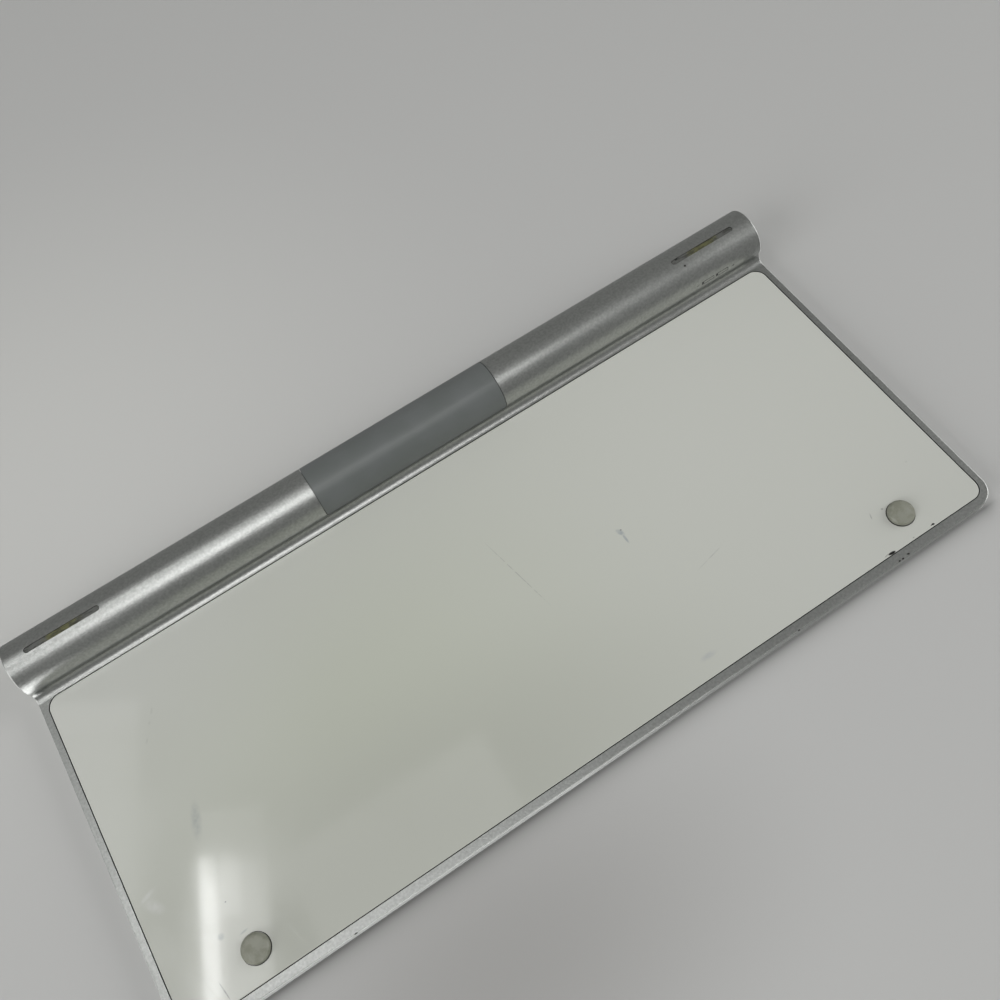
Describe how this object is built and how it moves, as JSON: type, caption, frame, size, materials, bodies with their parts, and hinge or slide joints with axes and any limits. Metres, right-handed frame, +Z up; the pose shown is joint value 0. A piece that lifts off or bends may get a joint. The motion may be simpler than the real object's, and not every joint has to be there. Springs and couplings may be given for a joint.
{
  "type": "wireless keyboard",
  "caption": "Slim wireless keyboard: aluminium plate and round rear battery tube, white underside panel, low white keys on scissor links.",
  "frame": {"origin": "middle of the footprint at desk height, where the tube and the worn front feet rest", "axes": "+X to the typist's right along the tube, +Y to the rear (the tube), +Z up from the desk; the key plate leans forward 6.4 degrees"},
  "size_m": [0.2818, 0.1328, 0.0184],
  "materials": {
    "case_aluminium": "bead-blasted, anodised",
    "panel_white": "smooth gloss moulding",
    "window_grey": "satin moulding",
    "turned_aluminium": "turned, fine blasted",
    "seal_rubber": "soft moulding",
    "spring_steel": "bright drawn",
    "sleeve_plastic": "satin moulding",
    "cell_jacket": "printed sleeve",
    "switch_plastic": "moulded",
    "circuit_board": "solder-masked laminate",
    "flex_film": "polyimide film",
    "sheet_steel": "rolled sheet",
    "membrane_film": "printed film",
    "dome_rubber": "soft silicone",
    "link_plastic": "moulded acetal",
    "lens_clear": "clear light pipe",
    "foot_rubber": "worn translucent elastomer",
    "strip_residue": "old adhesive and rubber",
    "key_white": "fine satin moulding"
  },
  "bodies": {
    "case": {"top_case": "case_aluminium", "bottom_panel": "panel_white", "antenna_window": "window_grey", "battery_sleeve": "sleeve_plastic", "battery_cells": "cell_jacket", "inner_contact": "spring_steel", "button_ring": "turned_aluminium", "power_switch": "switch_plastic", "board_carrier": "sleeve_plastic", "controller_board": "circuit_board", "antenna_board": "circuit_board", "flex_cable": "flex_film", "key_base_plate": "sheet_steel", "key_membrane": "membrane_film", "rubber_domes": "dome_rubber", "outer_scissor_links": "link_plastic", "inner_scissor_links": "link_plastic", "stabiliser_bars": "spring_steel", "status_lens": "lens_clear", "front_feet": "foot_rubber", "rear_foot_strips": "strip_residue", "plate_screws": "sheet_steel"},
    "battery_cap": {"battery_cap": "turned_aluminium", "cap_seal_ring": "seal_rubber", "cap_spring": "spring_steel"},
    "power_button": {"power_button": "turned_aluminium"},
    "key_a": {"key_a": "key_white"},
    "key_b": {"key_b": "key_white"},
    "key_c": {"key_c": "key_white"},
    "key_d": {"key_d": "key_white"},
    "key_e": {"key_e": "key_white"},
    "key_f": {"key_f": "key_white"},
    "key_g": {"key_g": "key_white"},
    "key_h": {"key_h": "key_white"},
    "key_i": {"key_i": "key_white"},
    "key_j": {"key_j": "key_white"},
    "key_k": {"key_k": "key_white"},
    "key_l": {"key_l": "key_white"},
    "key_m": {"key_m": "key_white"},
    "key_n": {"key_n": "key_white"},
    "key_o": {"key_o": "key_white"},
    "key_p": {"key_p": "key_white"},
    "key_q": {"key_q": "key_white"},
    "key_r": {"key_r": "key_white"},
    "key_s": {"key_s": "key_white"},
    "key_t": {"key_t": "key_white"},
    "key_u": {"key_u": "key_white"},
    "key_v": {"key_v": "key_white"},
    "key_w": {"key_w": "key_white"},
    "key_x": {"key_x": "key_white"},
    "key_y": {"key_y": "key_white"},
    "key_z": {"key_z": "key_white"},
    "key_space": {"key_space": "key_white"},
    "key_enter": {"key_enter": "key_white"},
    "key_shift_left": {"key_shift_left": "key_white"},
    "key_shift_right": {"key_shift_right": "key_white"},
    "number_row_keys": {"number_row_keys": "key_white"},
    "function_row_keys": {"function_row_keys": "key_white"},
    "punctuation_keys": {"punctuation_keys": "key_white"},
    "modifier_keys": {"modifier_keys": "key_white"}
  },
  "joints": [
    {"name": "press_power_button", "type": "slide", "parent": "case", "child": "power_button", "axis": [-1, 0, 0], "range_m": [0, 0.0005], "stiffness_N_per_m": 2000, "springref_m": -0.0003},
    {"name": "withdraw_battery_cap", "type": "slide", "parent": "case", "child": "battery_cap", "axis": [-1, 0, 0], "range_m": [0, 0.016]},
    {"name": "press_key_space", "type": "slide", "parent": "case", "child": "key_space", "axis": [0, 0.1115, -0.9938], "range_m": [0, 0.0018], "stiffness_N_per_m": 250, "springref_m": -0.0008, "deforming": ["rubber_domes", "outer_scissor_links", "inner_scissor_links", "stabiliser_bars"]},
    {"name": "press_key_enter", "type": "slide", "parent": "case", "child": "key_enter", "axis": [0, 0.1115, -0.9938], "range_m": [0, 0.0018], "stiffness_N_per_m": 250, "springref_m": -0.0008, "deforming": ["rubber_domes", "outer_scissor_links", "inner_scissor_links", "stabiliser_bars"]},
    {"name": "press_key_shift_left", "type": "slide", "parent": "case", "child": "key_shift_left", "axis": [0, 0.1115, -0.9938], "range_m": [0, 0.0018], "stiffness_N_per_m": 250, "springref_m": -0.0008, "deforming": ["rubber_domes", "outer_scissor_links", "inner_scissor_links", "stabiliser_bars"]},
    {"name": "press_key_shift_right", "type": "slide", "parent": "case", "child": "key_shift_right", "axis": [0, 0.1115, -0.9938], "range_m": [0, 0.0018], "stiffness_N_per_m": 250, "springref_m": -0.0008, "deforming": ["rubber_domes", "outer_scissor_links", "inner_scissor_links", "stabiliser_bars"]},
    {"name": "press_number_row_keys", "type": "slide", "parent": "case", "child": "number_row_keys", "axis": [0, 0.1115, -0.9938], "range_m": [0, 0.0018], "stiffness_N_per_m": 3500, "springref_m": -0.0008, "deforming": ["rubber_domes", "outer_scissor_links", "inner_scissor_links"]},
    {"name": "press_function_row_keys", "type": "slide", "parent": "case", "child": "function_row_keys", "axis": [0, 0.1115, -0.9938], "range_m": [0, 0.0018], "stiffness_N_per_m": 3500, "springref_m": -0.0008, "deforming": ["rubber_domes", "outer_scissor_links", "inner_scissor_links"]},
    {"name": "press_punctuation_keys", "type": "slide", "parent": "case", "child": "punctuation_keys", "axis": [0, 0.1115, -0.9938], "range_m": [0, 0.0018], "stiffness_N_per_m": 2500, "springref_m": -0.0008, "deforming": ["rubber_domes", "outer_scissor_links", "inner_scissor_links", "stabiliser_bars"]},
    {"name": "press_modifier_keys", "type": "slide", "parent": "case", "child": "modifier_keys", "axis": [0, 0.1115, -0.9938], "range_m": [0, 0.0018], "stiffness_N_per_m": 2500, "springref_m": -0.0008, "deforming": ["rubber_domes", "outer_scissor_links", "inner_scissor_links"]},
    {"name": "press_key_a", "type": "slide", "parent": "case", "child": "key_a", "axis": [0, 0.1115, -0.9938], "range_m": [0, 0.0018], "stiffness_N_per_m": 250, "springref_m": -0.0008, "deforming": ["rubber_domes", "outer_scissor_links", "inner_scissor_links"]},
    {"name": "press_key_b", "type": "slide", "parent": "case", "child": "key_b", "axis": [0, 0.1115, -0.9938], "range_m": [0, 0.0018], "stiffness_N_per_m": 250, "springref_m": -0.0008, "deforming": ["rubber_domes", "outer_scissor_links", "inner_scissor_links"]},
    {"name": "press_key_c", "type": "slide", "parent": "case", "child": "key_c", "axis": [0, 0.1115, -0.9938], "range_m": [0, 0.0018], "stiffness_N_per_m": 250, "springref_m": -0.0008, "deforming": ["rubber_domes", "outer_scissor_links", "inner_scissor_links"]},
    {"name": "press_key_d", "type": "slide", "parent": "case", "child": "key_d", "axis": [0, 0.1115, -0.9938], "range_m": [0, 0.0018], "stiffness_N_per_m": 250, "springref_m": -0.0008, "deforming": ["rubber_domes", "outer_scissor_links", "inner_scissor_links"]},
    {"name": "press_key_e", "type": "slide", "parent": "case", "child": "key_e", "axis": [0, 0.1115, -0.9938], "range_m": [0, 0.0018], "stiffness_N_per_m": 250, "springref_m": -0.0008, "deforming": ["rubber_domes", "outer_scissor_links", "inner_scissor_links"]},
    {"name": "press_key_f", "type": "slide", "parent": "case", "child": "key_f", "axis": [0, 0.1115, -0.9938], "range_m": [0, 0.0018], "stiffness_N_per_m": 250, "springref_m": -0.0008, "deforming": ["rubber_domes", "outer_scissor_links", "inner_scissor_links"]},
    {"name": "press_key_g", "type": "slide", "parent": "case", "child": "key_g", "axis": [0, 0.1115, -0.9938], "range_m": [0, 0.0018], "stiffness_N_per_m": 250, "springref_m": -0.0008, "deforming": ["rubber_domes", "outer_scissor_links", "inner_scissor_links"]},
    {"name": "press_key_h", "type": "slide", "parent": "case", "child": "key_h", "axis": [0, 0.1115, -0.9938], "range_m": [0, 0.0018], "stiffness_N_per_m": 250, "springref_m": -0.0008, "deforming": ["rubber_domes", "outer_scissor_links", "inner_scissor_links"]},
    {"name": "press_key_i", "type": "slide", "parent": "case", "child": "key_i", "axis": [0, 0.1115, -0.9938], "range_m": [0, 0.0018], "stiffness_N_per_m": 250, "springref_m": -0.0008, "deforming": ["rubber_domes", "outer_scissor_links", "inner_scissor_links"]},
    {"name": "press_key_j", "type": "slide", "parent": "case", "child": "key_j", "axis": [0, 0.1115, -0.9938], "range_m": [0, 0.0018], "stiffness_N_per_m": 250, "springref_m": -0.0008, "deforming": ["rubber_domes", "outer_scissor_links", "inner_scissor_links"]},
    {"name": "press_key_k", "type": "slide", "parent": "case", "child": "key_k", "axis": [0, 0.1115, -0.9938], "range_m": [0, 0.0018], "stiffness_N_per_m": 250, "springref_m": -0.0008, "deforming": ["rubber_domes", "outer_scissor_links", "inner_scissor_links"]},
    {"name": "press_key_l", "type": "slide", "parent": "case", "child": "key_l", "axis": [0, 0.1115, -0.9938], "range_m": [0, 0.0018], "stiffness_N_per_m": 250, "springref_m": -0.0008, "deforming": ["rubber_domes", "outer_scissor_links", "inner_scissor_links"]},
    {"name": "press_key_m", "type": "slide", "parent": "case", "child": "key_m", "axis": [0, 0.1115, -0.9938], "range_m": [0, 0.0018], "stiffness_N_per_m": 250, "springref_m": -0.0008, "deforming": ["rubber_domes", "outer_scissor_links", "inner_scissor_links"]},
    {"name": "press_key_n", "type": "slide", "parent": "case", "child": "key_n", "axis": [0, 0.1115, -0.9938], "range_m": [0, 0.0018], "stiffness_N_per_m": 250, "springref_m": -0.0008, "deforming": ["rubber_domes", "outer_scissor_links", "inner_scissor_links"]},
    {"name": "press_key_o", "type": "slide", "parent": "case", "child": "key_o", "axis": [0, 0.1115, -0.9938], "range_m": [0, 0.0018], "stiffness_N_per_m": 250, "springref_m": -0.0008, "deforming": ["rubber_domes", "outer_scissor_links", "inner_scissor_links"]},
    {"name": "press_key_p", "type": "slide", "parent": "case", "child": "key_p", "axis": [0, 0.1115, -0.9938], "range_m": [0, 0.0018], "stiffness_N_per_m": 250, "springref_m": -0.0008, "deforming": ["rubber_domes", "outer_scissor_links", "inner_scissor_links"]},
    {"name": "press_key_q", "type": "slide", "parent": "case", "child": "key_q", "axis": [0, 0.1115, -0.9938], "range_m": [0, 0.0018], "stiffness_N_per_m": 250, "springref_m": -0.0008, "deforming": ["rubber_domes", "outer_scissor_links", "inner_scissor_links"]},
    {"name": "press_key_r", "type": "slide", "parent": "case", "child": "key_r", "axis": [0, 0.1115, -0.9938], "range_m": [0, 0.0018], "stiffness_N_per_m": 250, "springref_m": -0.0008, "deforming": ["rubber_domes", "outer_scissor_links", "inner_scissor_links"]},
    {"name": "press_key_s", "type": "slide", "parent": "case", "child": "key_s", "axis": [0, 0.1115, -0.9938], "range_m": [0, 0.0018], "stiffness_N_per_m": 250, "springref_m": -0.0008, "deforming": ["rubber_domes", "outer_scissor_links", "inner_scissor_links"]},
    {"name": "press_key_t", "type": "slide", "parent": "case", "child": "key_t", "axis": [0, 0.1115, -0.9938], "range_m": [0, 0.0018], "stiffness_N_per_m": 250, "springref_m": -0.0008, "deforming": ["rubber_domes", "outer_scissor_links", "inner_scissor_links"]},
    {"name": "press_key_u", "type": "slide", "parent": "case", "child": "key_u", "axis": [0, 0.1115, -0.9938], "range_m": [0, 0.0018], "stiffness_N_per_m": 250, "springref_m": -0.0008, "deforming": ["rubber_domes", "outer_scissor_links", "inner_scissor_links"]},
    {"name": "press_key_v", "type": "slide", "parent": "case", "child": "key_v", "axis": [0, 0.1115, -0.9938], "range_m": [0, 0.0018], "stiffness_N_per_m": 250, "springref_m": -0.0008, "deforming": ["rubber_domes", "outer_scissor_links", "inner_scissor_links"]},
    {"name": "press_key_w", "type": "slide", "parent": "case", "child": "key_w", "axis": [0, 0.1115, -0.9938], "range_m": [0, 0.0018], "stiffness_N_per_m": 250, "springref_m": -0.0008, "deforming": ["rubber_domes", "outer_scissor_links", "inner_scissor_links"]},
    {"name": "press_key_x", "type": "slide", "parent": "case", "child": "key_x", "axis": [0, 0.1115, -0.9938], "range_m": [0, 0.0018], "stiffness_N_per_m": 250, "springref_m": -0.0008, "deforming": ["rubber_domes", "outer_scissor_links", "inner_scissor_links"]},
    {"name": "press_key_y", "type": "slide", "parent": "case", "child": "key_y", "axis": [0, 0.1115, -0.9938], "range_m": [0, 0.0018], "stiffness_N_per_m": 250, "springref_m": -0.0008, "deforming": ["rubber_domes", "outer_scissor_links", "inner_scissor_links"]},
    {"name": "press_key_z", "type": "slide", "parent": "case", "child": "key_z", "axis": [0, 0.1115, -0.9938], "range_m": [0, 0.0018], "stiffness_N_per_m": 250, "springref_m": -0.0008, "deforming": ["rubber_domes", "outer_scissor_links", "inner_scissor_links"]}
  ]
}
